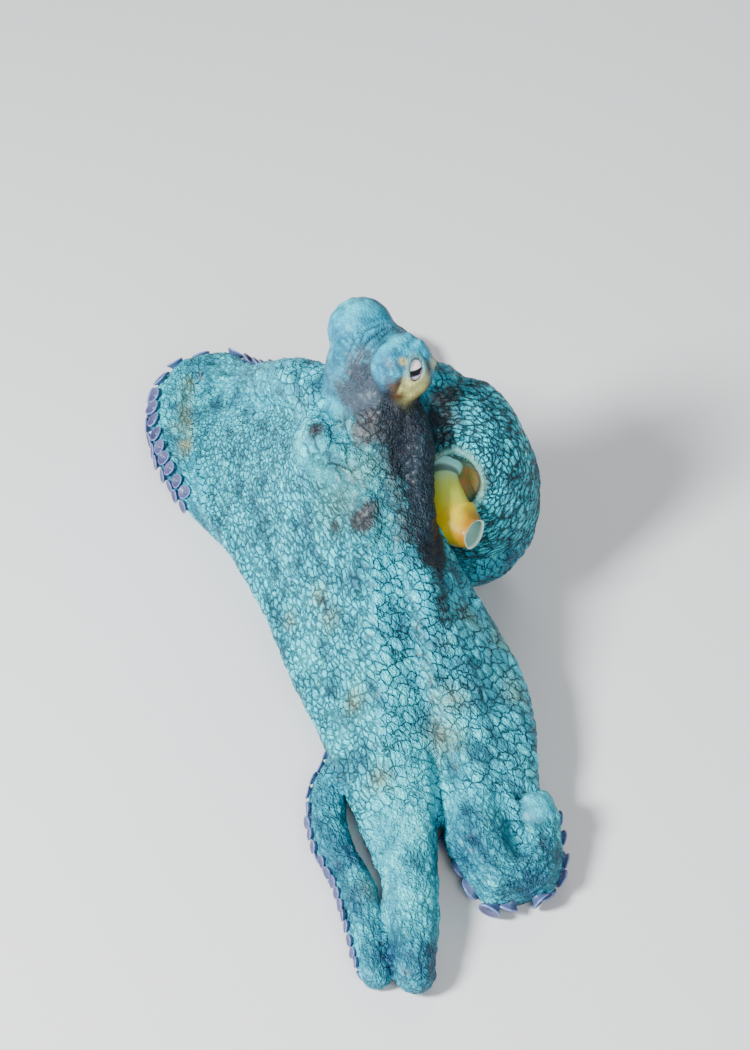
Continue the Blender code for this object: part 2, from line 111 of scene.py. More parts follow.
def catmull(p0, p1, p2, p3, t):
    a, b, c, d = (np.array(p, float) for p in (p0, p1, p2, p3))
    return b + 0.5 * ((c - a) * t + (2 * a - 5 * b + 4 * c - d) * t * t
                      + (3 * b - a - 3 * c + d) * t ** 3)


def smoothLine(points, steps=12):
    last = len(points) - 1
    dense = []
    for i in range(last):
        around = [points[min(max(i + k, 0), last)] for k in (-1, 0, 1, 2)]
        dense += [catmull(*around, step / steps) for step in range(steps)]
    return np.array(dense + [np.array(points[-1], float)])


def curledLine(spec):
    spot, heading, step = Vector(spec["start"]), radians(spec["heading"]), 2.0
    points = []
    for i in range(int(curl["length"] / step) + 1):
        along = i * step
        radius = curl["radius"] + (curl["tip"] - curl["radius"]) * (along / curl["length"]) ** 0.9
        drop = min(along / curl["drop"], 1.0)
        ease = drop * drop * (3 - 2 * drop)
        points.append((spot.x, spot.y, spec["start"][2] * (1 - ease) + 0.86 * radius * ease, radius))
        if along > spec["straight"]:
            heading += spec["turn"] * step / (curl["tightness"] * radius)
        spot += Vector((cos(heading), sin(heading), 0)) * step
    return np.array(points)


def lengthsOf(line):
    return np.concatenate(([0.0], np.cumsum(np.linalg.norm(np.diff(line[:, :3], axis=0), axis=1))))


lines = {name: smoothLine(points) for name, points in armLines.items()}
lines.update({name: curledLine(spec) for name, spec in curls.items()})

# the camera looks down on the animal from in front
view = {"elevation": 42.0, "distance": 1.10, "target": (-6.75, 0.0, 31.0), "lens": 83.8}


def newObject(name, data):
    item = bpy.data.objects.new(name, data)
    bpy.context.scene.collection.objects.link(item)
    return item


def makeCamera():
    camera = bpy.data.cameras.new("camera")
    camera.lens = view["lens"]
    camera.sensor_width = 36.0
    camera.clip_start = 0.05
    camera.clip_end = 20.0
    item = newObject("camera", camera)
    tilt = radians(view["elevation"])
    away = Vector((0.0, -cos(tilt), sin(tilt)))
    item.location = placed(view["target"]) + away * view["distance"]
    item.rotation_euler = (-away).to_track_quat("-Z", "Y").to_euler()
    bpy.context.scene.camera = item


makeCamera()
print("camera set")


def objectFrom(bm, name):
    mesh = bpy.data.meshes.new(name)
    bm.to_mesh(mesh)
    bm.free()
    return newObject(name, mesh)


def applied(item):
    ready = item.evaluated_get(bpy.context.evaluated_depsgraph_get())
    mesh = bpy.data.meshes.new_from_object(ready)
    name = item.name
    bpy.data.objects.remove(item)
    return newObject(name, mesh)


def triples(items, name):
    values = np.empty(len(items) * 3)
    items.foreach_get(name, values)
    return values.reshape(-1, 3)


def coordinates(mesh):
    return triples(mesh.vertices, "co")


def normalsOf(mesh):
    return triples(mesh.vertex_normals, "vector")


def setCoordinates(mesh, values):
    mesh.vertices.foreach_set("co", values.ravel())
    mesh.update()


def own(values):  # world metres to own millimetres
    return (values - np.array(home)) / mm


def lengths(vectors):
    return np.linalg.norm(vectors, axis=1)


def waysOf(line):
    ways = np.gradient(line[:, :3], axis=0)
    return ways / lengths(ways)[:, None]


def ramp(values, low, high):  # smooth 0 to 1 between two values
    share = np.clip((values - low) / (high - low), 0.0, 1.0)
    return share * share * (3 - 2 * share)


def store(mesh, name, values):
    kind = "FLOAT_VECTOR" if values.ndim == 2 else "FLOAT"
    layer = mesh.attributes.new(name, kind, "POINT")
    layer.data.foreach_set("vector" if values.ndim == 2 else "value", values.ravel().astype(np.float32))


# one skin over all the flesh
skin = {
    "nodes": [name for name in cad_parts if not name.startswith(("eye", "funnel"))],
    "overlap": 0.25 * mm,     # each copy grows by this, so that the thin cuts close
    "voxel": 1.35 * mm,
    "rounds": 26, "pull": 0.5, "push": -0.52,   # smoothing that keeps the volume
}
ground = {"turned": (0.35, 0.8), "low": (14.0, 22.0), "saved": 0.85}   # where faces are thinned

# the lip round the mantle's opening, and the blunt tip of the third left arm
rim = {"radius": 1.5,
       "line": ((19.5, -9, 77.5), (22.4, -8.5, 80.8), (28, -8.8, 82.8), (33.6, -10.3, 81),
                (38.2, -12.3, 75.7), (40.5, -15.3, 69), (39, -18.3, 63.3), (34.7, -19.5, 59),
                (30, -19.5, 55.5))}
knob = {"radius": 6.2, "middle": (60, -157, 16), "reach": (7, 10),
        "line": ((56, -158, 14), (60, -157, 15.5), (63, -160, 14))}


def fleshShapes():
    whole = bmesh.new()
    for name in skin["nodes"]:
        part = bmesh.new()
        part.from_mesh(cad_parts[name].data)
        bmesh.ops.remove_doubles(part, verts=part.verts, dist=0.00001)
        part.normal_update()
        for vert in part.verts:
            vert.co += vert.normal * skin["overlap"]
        mesh = bpy.data.meshes.new("part")
        part.to_mesh(mesh)
        part.free()
        whole.from_mesh(mesh)
        bpy.data.meshes.remove(mesh)
    for side in (1, -1):  # the eye sockets are filled, and opened again as lids
        mound, ahead = eyeFrame(side)[:2]
        for out, radius in eye["fillings"]:
            made = bmesh.ops.create_uvsphere(whole, u_segments=32, v_segments=20, radius=radius * mm)
            bmesh.ops.translate(whole, verts=made["verts"], vec=placed(mound + ahead * out))
    for shape in (rim, knob):
        for spot in smoothLine(shape["line"], 8):
            made = bmesh.ops.create_icosphere(whole, subdivisions=2, radius=shape["radius"] * mm)
            bmesh.ops.translate(whole, verts=made["verts"], vec=placed(spot))
    return objectFrom(whole, "skin")


def neighbours(mesh):
    pairs = np.empty(len(mesh.edges) * 2, dtype=np.int64)
    mesh.edges.foreach_get("vertices", pairs)
    pairs = pairs.reshape(-1, 2)
    return np.concatenate((pairs[:, 0], pairs[:, 1])), np.concatenate((pairs[:, 1], pairs[:, 0]))


def averaged(values, ends, count):
    here, there = ends
    total = np.bincount(here, minlength=count).astype(float)
    total[total == 0] = 1.0
    if values.ndim == 1:
        return np.bincount(here, weights=values[there], minlength=count) / total
    return np.stack([np.bincount(here, weights=values[there, k], minlength=count) / total
                     for k in range(values.shape[1])], axis=1)


def smoothed(mesh):
    points = coordinates(mesh)
    ends = neighbours(mesh)
    for _ in range(skin["rounds"]):
        for factor in (skin["pull"], skin["push"]):
            points = points + (averaged(points, ends, len(points)) - points) * factor
    points[:, 2] = np.maximum(points[:, 2], 0.0)
    setCoordinates(mesh, points)


def makeSkinBase():
    item = fleshShapes()
    remesh = item.modifiers.new("fuse", "REMESH")
    remesh.mode = "VOXEL"
    remesh.voxel_size = skin["voxel"]
    item = applied(item)
    smoothed(item.data)
    print("skin base", len(item.data.vertices))
    return item


skinPiece = makeSkinBase()


def finished(bm, name, attribute, values):  # a smooth piece with values of its own at its points
    item = objectFrom(bm, name)
    store(item.data, attribute, np.array(values))
    item.data.shade_smooth()
    return item


def joinRings(bm, rings):  # faces from each ring of points to the next; a ring may be one point
    for first, second in zip(rings[:-1], rings[1:]):
        count = max(len(first), len(second))
        for j in range(count):
            n = (j + 1) % count
            corners = (first[j % len(first)], first[n % len(first)],
                       second[n % len(second)], second[j % len(second)])
            bm.faces.new(tuple(dict.fromkeys(corners)))


def thinned(item):  # fewer, larger faces where the animal lies on the ground
    mesh = item.data
    points, normals = coordinates(mesh), normalsOf(mesh)
    hidden = ramp(-normals[:, 2], *ground["turned"]) * (1 - ramp(points[:, 2] / mm, *ground["low"]))
    group = item.vertex_groups.new(name="hidden")
    for index in np.flatnonzero(hidden > 0.5):
        group.add([int(index)], 1.0, "REPLACE")
    thin = item.modifiers.new("thin", "DECIMATE")
    thin.ratio = 1 - ground["saved"] * float((hidden > 0.5).mean())
    thin.vertex_group = "hidden"
    item = applied(item)
    item.vertex_groups.clear()
    return item


def refined(item, spots):  # shorter edges round small features: own place, reach, cuts
    bm = bmesh.new()
    bm.from_mesh(item.data)
    for spot, reach, cuts in spots:
        middle = placed(spot)
        for _ in range(cuts):
            near = [edge for edge in bm.edges
                    if (edge.verts[0].co - middle).length < reach * mm
                    and (edge.verts[1].co - middle).length < reach * mm]
            bmesh.ops.subdivide_edges(bm, edges=near, cuts=1, use_grid_fill=True)
            reach *= 0.86
    bmesh.ops.triangulate(bm, faces=[face for face in bm.faces if len(face.verts) > 4])
    bm.to_mesh(item.data)
    bm.free()


skinPiece = thinned(skinPiece)
nearEye, farEye = (eyeFrame(side)[0] + eyeFrame(side)[1] * 12 for side in (1, -1))
refined(skinPiece, ((nearEye, 15.0, 2), (farEye, 12.0, 1), ((31, -14, 69), 19.0, 1)))
print("skin refined", len(skinPiece.data.vertices))


def tone(red, green, blue):  # screen values 0 to 255 to a linear colour
    return tuple(((v / 255 + 0.055) / 1.055) ** 2.4 if v > 10 else v / 3294.6
                 for v in (red, green, blue)) + (1.0,)


class Graph:  # a few short calls for building shaders and geometry nodes
    def __init__(self, tree):
        self.tree = tree
        self.tree.nodes.clear()

    def add(self, kind, inputs=(), **settings):
        made = self.tree.nodes.new(kind)
        for name, value in settings.items():
            setattr(made, name, value)
        for key, value in dict(inputs).items():
            socket = made.inputs[key]
            if isinstance(value, bpy.types.NodeSocket):
                self.tree.links.new(value, socket)
            elif value is not None:
                socket.default_value = value
        return made

    def math(self, operation, first, second=None, clamp=False):
        made = self.add("ShaderNodeMath", {0: first, 1: second}, operation=operation, use_clamp=clamp)
        return made.outputs[0]

    def times(self, *values):
        return reduce(partial(self.math, "MULTIPLY"), values)

    def total(self, *values):
        return reduce(partial(self.math, "ADD"), values)

    def most(self, *values):
        return reduce(partial(self.math, "MAXIMUM"), values)

    def ease(self, value, low, high, start=0.0, end=1.0):
        made = self.add("ShaderNodeMapRange", {"Value": value, "From Min": low, "From Max": high,
                                               "To Min": start, "To Max": end},
                        interpolation_type="SMOOTHSTEP")
        return made.outputs["Result"]

    def scaled(self, vector, factor):
        return self.add("ShaderNodeVectorMath", {0: vector, 1: factor}, operation="MULTIPLY").outputs[0]

    def edges(self, vector, scale):
        return self.add("ShaderNodeTexVoronoi", {"Vector": vector, "Scale": scale},
                        feature="DISTANCE_TO_EDGE").outputs["Distance"]

    def cells(self, vector, scale, output="Distance"):
        return self.add("ShaderNodeTexVoronoi", {"Vector": vector, "Scale": scale}).outputs[output]

    def noise(self, vector, scale, detail=3.0, rough=0.55):
        return self.add("ShaderNodeTexNoise", {"Vector": vector, "Scale": scale, "Detail": detail,
                                               "Roughness": rough}).outputs[0]

    def mix(self, share, first, second):  # colours: sockets, or screen values 0 to 255
        first, second = (tone(*value) if isinstance(value, tuple) else value for value in (first, second))
        return self.add("ShaderNodeMix", {0: share, 6: first, 7: second}, data_type="RGBA").outputs[2]

    def layered(self, colour, *layers):  # each layer: how much of it shows, then its tone
        for share, over in layers:
            colour = self.mix(share, colour, over)
        return colour

    def value(self, name):
        return self.add("ShaderNodeAttribute", attribute_name=name).outputs["Fac"]

    def vector(self, name):
        return self.add("ShaderNodeAttribute", attribute_name=name).outputs["Vector"]

    def parts(self, vector):
        return tuple(self.add("ShaderNodeSeparateXYZ", {0: vector}).outputs)

    def here(self):  # the place on the piece, in millimetres
        return self.scaled(self.add("ShaderNodeTexCoord").outputs["Object"], (1000, 1000, 1000))

    def surface(self, colour, roughness, height, strength, distance, finish):
        bump = self.add("ShaderNodeBump", {"Height": height, "Strength": strength, "Distance": distance})
        shader = self.add("ShaderNodeBsdfPrincipled", {
            "Base Color": colour, "Roughness": roughness, "Normal": bump.outputs[0], **finish})
        self.add("ShaderNodeOutputMaterial", {"Surface": shader.outputs[0]})


def newMaterial(name):
    material = bpy.data.materials.new(name)
    material.use_nodes = True
    return material, Graph(material.node_tree)


flow = Vector((0.58, -0.75, -0.32)).normalized()   # the way the arms run down the web
aperture = {"middle": (30, -12, 70), "ahead": Vector((0.05, -0.85, 0.52)).normalized(),
            "halfWidth": 9.5, "halfHeight": 12.5, "depth": (15.0, 19.0)}
# how far along each arm, in mm, it is clear of the web
freeFrom = {"r1": 70, "l1": 130, "l2": 165, "l3": 165, "l4": 20, "r4": 20, "r2": 20, "r3": 20}


def nearestArm(points):  # which arm, how far along it, offset across and above, share of its radius
    samples = np.concatenate(list(lines.values()))
    owner = np.concatenate([np.full(len(line), k) for k, line in enumerate(lines.values())])
    along = np.concatenate([lengthsOf(line) for line in lines.values()])
    ways = np.concatenate([waysOf(line) for line in lines.values()])
    best = np.empty(len(points), dtype=int)
    for start in range(0, len(points), 4000):
        part = points[start:start + 4000]
        gap = np.linalg.norm(part[:, None, :] - samples[None, :, :3], axis=2) / samples[None, :, 3]
        best[start:start + 4000] = gap.argmin(axis=1)
    offset = points - samples[best, :3]
    way = ways[best]
    right = np.stack((way[:, 1], -way[:, 0], np.zeros(len(way))), axis=1)
    right /= lengths(right)[:, None] + 1e-9
    above = np.cross(right, way)
    return {"owner": owner[best], "along": along[best] + (offset * way).sum(axis=1),
            "right": (offset * right).sum(axis=1), "above": (offset * above).sum(axis=1),
            "share": lengths(offset) / samples[best, 3]}


def spread(points, spots):  # each spot: x, y, z, reach, strength
    total = np.zeros(len(points))
    for x, y, z, reach, strength in spots:
        gap = ((points - (x, y, z)) ** 2).sum(axis=1)
        total = np.maximum(total, strength * np.exp(-(gap / (reach * reach)) ** 1.2))
    return total


def beside(points, line):  # distance from each point to a drawn line
    line = np.array(line, float)
    gap = np.full(len(points), 1e9)
    for a, b in zip(line[:-1], line[1:]):
        way = b - a
        share = np.clip(((points - a) @ way) / (way @ way), 0, 1)
        gap = np.minimum(gap, lengths(points - (a + share[:, None] * way)))
    return gap


def drawn(points, line, width, power=2):  # 1 on a line, fading out beside it
    return np.exp(-(beside(points, line) / width) ** power)


def wander(points, scale, amount, seed=0.0):  # slow wavering added to the pattern's places
    shift = np.empty_like(points)
    for i, (x, y, z) in enumerate(points):
        shift[i] = noise.noise_vector(Vector((x * scale + seed, y * scale, z * scale)))
    return points + shift * amount


pattern = {"big": 8.4, "mid": 3.6, "fold": 2.4, "fine": 1.5, "stretch": 2.6}   # cell sizes in mm


def fromAperture(points):  # depth along the opening's axis, then sideways and up across it
    offset = points - np.array(aperture["middle"])
    ahead = np.array(aperture["ahead"])
    depth = offset @ ahead
    flat = offset - np.outer(depth, ahead)
    return depth, flat[:, 0], flat @ np.cross(ahead, (1, 0, 0))


def measure(mesh):
    points = own(coordinates(mesh))
    arm = nearestArm(points)
    x, y, z = points.T
    free = np.zeros(len(points))
    for k, name in enumerate(lines):
        mine = arm["owner"] == k
        free[mine] = (ramp(arm["along"][mine], freeFrom[name] - 20, freeFrom[name] + 12)
                      * (1 - ramp(arm["share"][mine], 1.25, 1.6)))
    moved = wander(points, 0.06, 1.6)
    # cells a little longer down the web, and folds much longer
    across, way = np.array(Vector((-0.15, -0.5, 0.85)).normalized()), np.array(flow)
    lengthwise = moved @ way
    cellPlace = moved - 0.4 * np.outer(moved @ across, across) - 0.3 * np.outer(lengthwise, way)
    foldPlace = moved - np.outer(lengthwise * (1 - 1 / pattern["stretch"]), way)
    # folds along a free arm
    armPlace = np.stack((arm["right"], arm["above"], arm["along"] / pattern["stretch"]), axis=1)
    armPlace += wander(points, 0.09, 1.2, 7.0) - points + (arm["owner"] * 37.0)[:, None]
    foldPlace = np.where((free > 0.5)[:, None], armPlace, foldPlace)
    # folds over the mantle: round its opening
    depth, sideways, upward = fromAperture(moved)
    ringwise = np.arctan2(upward, sideways)
    reach = np.hypot(np.hypot(sideways, upward), depth * 0.9)
    mantle = ramp(x, 16, 21) * ramp(y, -32, -24) * ramp(z, 26, 32) * (1 - free)
    mantle *= 1 - ramp(z - 96 - 0.2 * x, 0, 3)
    ringPlace = np.stack((reach * 1.25, ringwise * 32 / pattern["stretch"], 0 * reach + 90), axis=1)
    foldPlace = np.where((mantle > 0.5)[:, None], ringPlace, foldPlace)
    return points, free, mantle, cellPlace, foldPlace


def storePatterns(item):  # the same cells as the material draws, measured at every vertex
    tree = bpy.data.node_groups.new("patterns", "GeometryNodeTree")
    graph = Graph(tree)
    tree.interface.new_socket("Geometry", in_out="INPUT", socket_type="NodeSocketGeometry")
    tree.interface.new_socket("Geometry", in_out="OUTPUT", socket_type="NodeSocketGeometry")
    shape = graph.add("NodeGroupInput").outputs[0]

    def read(name):
        return graph.add("GeometryNodeInputNamedAttribute", {"Name": name},
                         data_type="FLOAT_VECTOR").outputs[0]

    found = {}
    for name in ("big", "mid", "fold"):
        place, scale = read("foldPlace" if name == "fold" else "cellPlace"), 1 / pattern[name]
        edge, shade = graph.edges(place, scale), graph.cells(place, scale, "Color")
        for label, value in ((name + "Edge", edge), (name + "Tone", shade)):
            found[label] = np.empty(len(item.data.vertices))
            shape = graph.add("GeometryNodeStoreNamedAttribute",
                              {"Geometry": shape, "Name": label, "Value": value}).outputs[0]
    graph.add("NodeGroupOutput", {0: shape})
    item.modifiers.new("patterns", "NODES").node_group = tree
    item = applied(item)
    for name, values in found.items():
        layer = item.data.attributes[name]
        layer.data.foreach_get("value", values)
        item.data.attributes.remove(layer)
    return item, found


# places of marks on the skin: x, y, z, reach, strength
marks = {
    # brown patches on the skin, with painted shade under the head, round the near eye and where the mantle
    # meets the neck
    "brownAndShade": (
        (-12, 5, 124, 5, 0.5), (-14, 1, 117, 7, 0.75), (-10, -1, 112, 7, 0.85),
        (-11.8, -45.4, 74.8, 6.5, 0.85), (-8.5, -41, 77.5, 5, 0.7), (-23.9, -40.2, 66, 4, 0.5),
        (-32.7, -4.1, 90, 5.5, 0.6), (-17.5, -0.6, 106.6, 9, 0.8), (-11, -6.3, 105.8, 9, 0.9),
        (-4.6, -6.4, 111.3, 5, 0.8), (-19.7, -3.6, 95.2, 7, 0.45), (-11, -13.6, 97.9, 9, 0.75),
        (-2.5, -15.7, 99.6, 8, 0.75), (-21.8, 2.9, 109.3, 6, 0.5), (-11, -0.4, 117.4, 6, 0.75),
        (-6.8, -4.7, 115.4, 4, 0.7), (-16.6, 3.7, 119.6, 4, 0.35), (21.4, 4.9, 99.4, 6, 0.65),
        (25.8, 7.8, 99.9, 6, 0.6), (24, 1, 93, 6.5, 0.65), (24, -2, 85, 5.5, 0.55), (22, -93, 49, 5, 0.3),
        (30, -118, 36, 5, 0.25), (-6, -52, 69, 4, 0.4)),
    # indigo: the neck's dark skin, with painted shade on the neck's shaded flank and the mantle's shaded side
    "indigoAndShade": (
        (20, -108, 41.7, 5, 0.3), (15, -12.8, 74.7, 7, 1.0), (17, -6.9, 86.7, 6, 0.9),
        (17, -1.3, 93.3, 6, 0.8), (62, 4, 44, 9, 0.45)),
    "tan": (
        (-30, -59.5, 44, 5, 0.8), (-43.6, -57.5, 27.4, 5, 0.6), (-15, -112, 34, 6, 0.75),
        (-4.7, -150, 26.8, 6, 0.6), (22, -128.5, 30.6, 8, 0.7), (24, -116, 38, 7, 0.6),
        (46.8, -72, 29.5, 8, 0.5), (52, -99.6, 27, 8, 0.5), (-26, -72.5, 42, 6, 0.6), (-22, -34, 70, 12, 0.3),
        (-12, -24, 84, 9, 0.35), (-100, 85, 18, 5, 0.7), (-97, 66, 17, 4, 0.6), (33, -75, 45, 8, 0.35),
        (-8, -196, 12, 6, 0.5)),
    "moss": (
        (-16, -26, 78, 20, 0.85), (-4, -44, 69, 15, 0.75), (-20, -42, 66, 10, 0.5), (-6, -14, 97, 9, 0.8)),
    # pale skin, with painted highlight on the lit left side of the web and on the tops of the head
    "paleAndHighlight": (
        (-39.5, 0.3, 80.6, 8, 0.8), (-28, -15, 88, 8, 0.8), (-30.5, -19, 80, 7, 0.7), (-44, 22, 81, 12, 0.5),
        (-36, -82, 28, 14, 0.6), (-22, -120, 24, 14, 0.6), (2, -170, 22, 18, 1.0), (0, -200, 16, 18, 0.9),
        (12, -148, 30, 20, 0.8), (-2, -118, 38, 22, 0.6), (24, -132, 30, 8, 0.5), (60, -157, 20, 7, 1.0),
        (-90, 110, 24, 14, 0.5), (50, -140, 24, 10, 0.4), (-16, 28, 132, 9, 0.8), (1, 6, 131, 7, 0.7)),
    "cream": (
        (8.9, -9.5, 119.8, 3.8, 1.0), (12.3, -7.9, 116.3, 5, 1.0), (6.4, -10.2, 116, 3.4, 1.0),
        (9, -8.6, 112.5, 4.8, 1.0), (14, -6.6, 119.6, 3.4, 0.9), (5.1, -5.3, 128.8, 1.6, 0.9),
        (17.9, 1.9, 122.6, 3.0, 0.8), (-97, 72, 17, 3.5, 0.4)),
    "amber": (
        (0.4, -9.6, 118.8, 3.4, 0.7), (-1.3, -8.7, 121, 2.6, 0.4), (5.1, -5.3, 128.8, 1.1, 0.7),
        (11, -8, 111, 3.0, 0.5), (3.4, -9.5, 113, 3.2, 0.9)),
    # painted shade: dark blue where the arms, their low tips and the mantle's far side lie in shade
    "paintedShade": (
        (-52, 92, 46, 16, 0.6), (34, -176, 12, 20, 0.7), (-20, -175, 6, 14, 1.0), (-14, -200, 4, 13, 1.0),
        (12, -230, 8, 14, 1.0), (-1, -226, 10, 12, 0.9), (-27, -148, 10, 11, 0.7), (-26, -166, 9, 9, 0.6),
        (56, -188, 8, 16, 0.75), (38, -150, 8, 14, 0.4), (44, 4, 20, 24, 0.8), (20, -165, 8, 12, 0.6),
        (64, 10, 50, 16, 0.4)),
}
bands = (  # drawn marks: name, line, width, strength
    # painted shade down the neck's shaded flank and into the web, over its dark indigo skin
    ("indigoAndShade", ((8, -9, 109), (8, -12, 99), (11, -18, 86)), 12.0, 1.0),
    ("indigoAndShade", ((11, -18, 86), (13, -22, 79), (15, -34, 74)), 10.0, 1.0),
    ("indigoAndShade", ((15, -34, 74), (16.5, -44, 69.5), (18, -54, 64)), 9.0, 1.0),
    ("indigoAndShade", ((18, -54, 64), (20, -68, 58), (22, -84, 51)), 5.5, 0.45),
    # painted shade under the head and down beside the neck, over brown skin
    ("brownAndShade", ((-14, -2, 106), (-6, -9, 104), (2, -12, 104)), 8.0, 0.95),
    ("brownAndShade", ((-2, -14, 99), (0, -23, 86), (4, -40, 75), (6, -50, 70)), 7.0, 0.45),
    # painted shade along the first right arm's outer edge, between its suckers
    ("paintedShade", ((-92, 134, 12), (-110, 116, 10), (-114, 92, 9), (-101, 48, 8)), 6.5, 0.8),
    ("tan", ((-98, 118, 18), (-99, 95, 18), (-92, 68, 16)), 3.5, 0.7),
    ("brownAndShade", ((-28, -62, 43), (-22, -74, 41), (-17, -84, 40)), 3.0, 0.6),
    # painted shade round and below the near eye
    ("brownAndShade", ((4.2, -9.6, 121), (2.6, -10.6, 116), (4, -10.5, 111.5)), 2.4, 1.0),
    ("brownAndShade", ((1, -8.5, 111.5), (6, -9.3, 107.5), (12, -7.4, 107.5), (17.5, -2.5, 112)), 2.6, 1.0),
    ("brownAndShade", ((15.8, -3.5, 121), (16.8, -1.5, 126)), 1.6, 0.9),
)
# drawn lines that are pressed in (below zero) or raised: points, width, height
creases = (
    (((-3, 8, 129.5), (-8, 4.4, 126.1), (-10.8, 1.2, 121), (-10, -1.6, 116), (-7, -5, 111.5)), 2.3, -1.5),
    (((12.6, -2.2, 128.6), (14.3, -3, 125.5), (14.8, -4.2, 122)), 0.75, -0.9),
    (((5.9, -8.4, 124.8), (3.6, -10.4, 119), (2.2, -10.6, 114.5)), 0.8, -0.9),
    (((52, -152, 21), (54.5, -149.5, 20.5), (59, -148.5, 18), (64, -149.5, 13)), 1.9, -3.4),
    (((53, -164, 19), (58.5, -166, 19), (65, -164.5, 15)), 1.6, -2.2),
    (((52, -153, 21), (51.5, -158, 20.5), (53, -164, 19)), 1.5, -1.4),
    (((60, -168, 18), (60.8, -178, 16.6)), 1.0, -0.9),
    (((-62, 75, 52), (-70, 98, 38), (-80, 112, 29), (-92, 119, 24.5)), 1.5, -2.0),
    (((-70, 76, 44), (-78, 98, 32), (-88, 108, 25.5)), 1.3, -1.6),
    (((-60, 84, 56), (-72, 112, 36), (-88, 126, 24)), 1.3, -1.5),
)
papillae = (  # raised points: x, y, z, reach, height
    (-17.4, 2, 115.5, 1.5, 1.0), (-21.3, 4.8, 114.9, 1.6, 1.2), (26.1, -132.5, 30, 2.4, 0.9),
    (24.1, -125.4, 33.2, 2.2, 0.8), (-19.6, -19.6, 88.9, 1.7, 0.7), (-35.8, -13.7, 77.2, 1.8, 0.8),
    (28, -141.2, 26.3, 2.2, 0.8), (1.6, -82.3, 54.4, 1.8, 0.6), (12.1, -84.2, 53.4, 1.8, 0.6),
    (55.9, -121.6, 23.2, 1.8, 0.9), (-13, 28, 135, 1.8, 0.5), (-23.9, -18.3, 87.8, 1.6, 0.6),
    (-46, -30, 44, 1.6, 0.6), (7.3, 9, 131.1, 2.4, 1.5), (12, 5, 130, 2.3, 1.6),
    (15, 1.2, 127.6, 1.9, 1.2), (17.9, 1.9, 122.6, 2.4, 1.3), (36.5, -62, 42, 2.3, 2.4),
    (43, -70, 34, 2, 0.8), (-67.3, -13, 21.6, 1.8, 0.8), (10, 2, 131, 1.7, 0.7), (-4, 12, 132, 1.6, 0.5),
)


orbFolds = {"first": 15.8, "step": 2.7, "last": 27.0, "depth": 1.1,
            "toward": Vector((-0.92, 0.1, 0.36)).normalized()}


def foldsOfHead(points):  # arcs in the skin between the two eyes
    offset = points - np.array(eye["moundLeft"])
    reach = lengths(offset)
    reach += np.array([noise.noise(Vector(p) * 0.13) for p in points]) * 1.6
    wave = 0.5 + 0.5 * np.cos(2 * pi * (reach - orbFolds["first"]) / orbFolds["step"])
    share = ramp(reach, orbFolds["first"] - 1, orbFolds["first"])
    share *= 1 - ramp(reach, orbFolds["last"] - 6, orbFolds["last"])
    share *= ramp(offset @ np.array(orbFolds["toward"]) / np.maximum(reach, 1), 0.35, 0.7)
    return share * wave ** 3


# painted shade: a darker tone in the head's arcs and in the pressed-in lines
def creaseShade(points):  # how deep in a fold each point lies, for its tone
    shade = foldsOfHead(points)
    for line, width, depth in creases:
        shade = np.maximum(shade, min(-0.5 * depth, 0.9) * drawn(points, line, 0.8 * width))
    return shade


def shareOfRing(points):  # inside the mantle's opening
    depth, sideways, upward = fromAperture(points)
    away = np.hypot(sideways / aperture["halfWidth"], upward / aperture["halfHeight"])
    inside = (1 - ramp(away, 0.9, 1.1)) * ramp(-depth, -5.0, 2.0)
    return inside * (1 - ramp(-depth, *aperture["depth"]))


def shareOfKnob(points):
    return 1 - ramp(lengths(points - knob["middle"]), *knob["reach"])


# how far the cells and folds rise in mm: domes, and how one differs from the next
relief = {"bigDome": 0.62, "bigVaried": 0.5, "bigFine": 0.16, "dome": 0.44, "varied": 0.26,
          "fold": 0.42, "foldVaried": 0.12, "swell": 0.55, "scale": 1.35}
# smooth skin: middle, full within, gone beyond, share; then where the big cells are
bareSpots = ((eye["moundLeft"], 14.5, 19, 1.0), (eye["moundRight"], 15, 21, 1.0),
             ((-7, 17, 108), 22, 31, 0.8))
bigSpots = ((-27, -14, 80, 27, 1.0), (-14, -40, 68, 26, 0.9), (26, -135, 29, 16, 0.6))


def reliefOf(mesh, points, free, mantle, found):
    normals = normalsOf(mesh)
    smooth = np.maximum.reduce([share * (1 - ramp(lengths(points - np.array(spot)), near, far))
                                for spot, near, far, share in bareSpots])
    rough = (1 - 0.86 * smooth) * ramp(normals[:, 2], -0.75, -0.25)
    rough *= (1 - shareOfRing(points)) * (1 - drawn(points, rim["line"], 2.8, 4))
    margin = ramp(-normals[:, 0] * 0.9 - 0.35 * normals[:, 1], 0.2, 0.6) * (1 - ramp(points[:, 2], 70, 86))
    fold = np.clip(np.maximum.reduce((free, mantle, 0.85 * margin)), 0, 1)
    big = spread(points, bigSpots) * (1 - fold)
    plain = (1 - big) * (1 - fold)
    height = big * (relief["bigDome"] * ramp(found["bigEdge"], 0.0, 0.24)
                    + relief["bigVaried"] * ramp(found["bigTone"], 0.55, 1.0)
                    + relief["bigFine"] * ramp(found["midEdge"], 0, 0.3))
    height += plain * (relief["dome"] * ramp(found["midEdge"], 0.0, 0.28)
                       + relief["varied"] * ramp(found["midTone"], 0.5, 1.0))
    height += fold * (relief["fold"] * ramp(found["foldEdge"], 0.0, 0.32)
                      + relief["foldVaried"] * found["foldTone"])
    swell = np.array([noise.fractal(Vector(p) * 0.085, 1.0, 2.0, 3) for p in points])
    height = (height + relief["swell"] * swell) * rough
    height *= relief["scale"] * (1 - 0.8 * shareOfKnob(points))
    height -= orbFolds["depth"] * foldsOfHead(points)
    for line, width, depth in creases:
        height += depth * drawn(points, line, width)
    for px, py, pz, reach, tall in papillae:
        gap = lengths(points - (px, py, pz)) / reach
        height += tall * np.exp(-gap * gap)
    return height, fold, big, smooth


